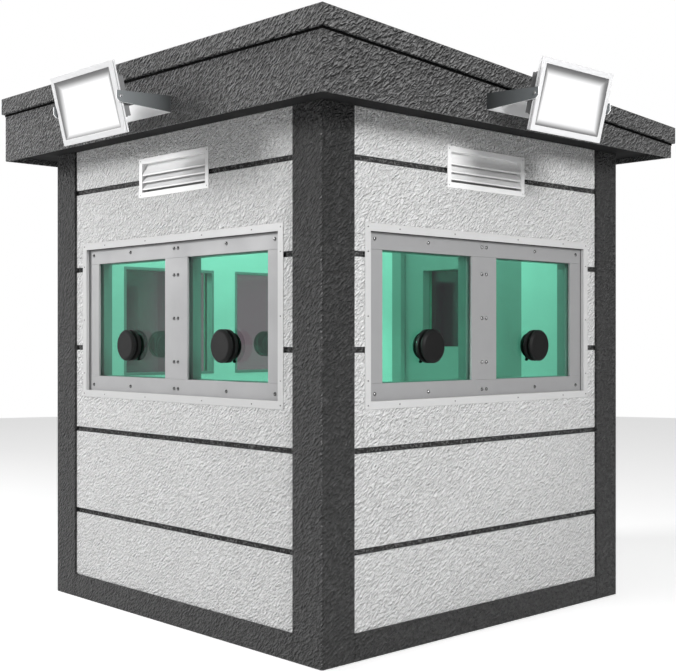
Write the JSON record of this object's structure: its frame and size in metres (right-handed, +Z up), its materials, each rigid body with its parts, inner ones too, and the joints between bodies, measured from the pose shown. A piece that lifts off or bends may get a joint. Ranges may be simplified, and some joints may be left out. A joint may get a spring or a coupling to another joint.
{
  "type": "security guard booth",
  "caption": "Square guard booth with riveted bullet-resistant windows, gun ports, vents, a door, a lean-to roof and tilting floodlights.",
  "frame": {"origin": "middle of the base's underside, on the ground", "axes": "+Z up, -Y out of the front window side, +X out of the right window side, +Y out of the door side"},
  "size_m": [2.977, 2.6625, 2.5002],
  "materials": {
    "dark_texture": "textured charcoal coat, matte",
    "roof_texture": "textured charcoal coat, satin",
    "soffit_dark": "matte charcoal",
    "floor_vinyl": "matte grey floor covering",
    "wall_panel": "light grey inside, charcoal in the seams",
    "stucco_board": "light grey rough render coat",
    "white_trim": "white satin paint",
    "riveted_metal": "light grey satin, riveted",
    "green_glass": "green laminated glass",
    "black_metal": "matte black",
    "white_vent": "white satin paint",
    "door_paint": "light grey satin paint",
    "steel_fittings": "satin steel",
    "lamp_bracket_metal": "light grey metal paint",
    "lamp_housing_metal": "white metal paint",
    "lamp_lens": "white diffusing lens"
  },
  "bodies": {
    "booth": {"floor_panel": "floor_vinyl", "base_rails": "dark_texture", "corner_posts": "dark_texture", "front_wall": "wall_panel", "right_wall": "wall_panel", "left_wall": "wall_panel", "back_wall_sides": "wall_panel", "back_wall_head": "wall_panel", "front_cladding": "stucco_board", "right_cladding": "stucco_board", "left_cladding": "stucco_board", "back_cladding": "stucco_board", "front_window_trim": "white_trim", "right_window_trim": "white_trim", "left_window_trim": "white_trim", "front_window_frame": "riveted_metal", "right_window_frame": "riveted_metal", "left_window_frame": "riveted_metal", "front_window_glass": "green_glass", "right_window_glass": "green_glass", "left_window_glass": "green_glass", "front_gun_ports": "black_metal", "right_gun_ports": "black_metal", "left_gun_ports": "black_metal", "front_vent": "white_vent", "right_vent": "white_vent", "left_vent": "white_vent", "door_frame": "white_trim", "door_hinge_pins": "steel_fittings", "ceiling_panel": "soffit_dark", "roof_fascia": "roof_texture", "roof_cap": "roof_texture", "front_lamp_bracket": "lamp_bracket_metal", "right_lamp_bracket": "lamp_bracket_metal", "left_lamp_bracket": "lamp_bracket_metal"},
    "door": {"door_leaf": "door_paint", "door_window_bezel": "white_trim", "door_glass": "green_glass", "door_handle": "steel_fittings", "door_hinge_knuckles": "steel_fittings"},
    "front_lamp": {"front_lamp_housing": "lamp_housing_metal", "front_lamp_lens": "lamp_lens"},
    "right_lamp": {"right_lamp_housing": "lamp_housing_metal", "right_lamp_lens": "lamp_lens"},
    "left_lamp": {"left_lamp_housing": "lamp_housing_metal", "left_lamp_lens": "lamp_lens"}
  },
  "joints": [
    {"name": "door_swing", "type": "hinge", "parent": "booth", "child": "door", "pos_m": [-0.42, 1.009, 0], "axis": [0, 0, 1], "range_deg": [0, 105]},
    {"name": "front_lamp_tilt", "type": "hinge", "parent": "booth", "child": "front_lamp", "pos_m": [0, -1.427, 2.268], "axis": [1, 0, 0], "range_deg": [-34, 76]},
    {"name": "right_lamp_tilt", "type": "hinge", "parent": "booth", "child": "right_lamp", "pos_m": [1.447, 0, 2.268], "axis": [0, 1, 0], "range_deg": [-34, 76]},
    {"name": "left_lamp_tilt", "type": "hinge", "parent": "booth", "child": "left_lamp", "pos_m": [-1.447, 0, 2.268], "axis": [0, -1, 0], "range_deg": [-34, 76]}
  ]
}
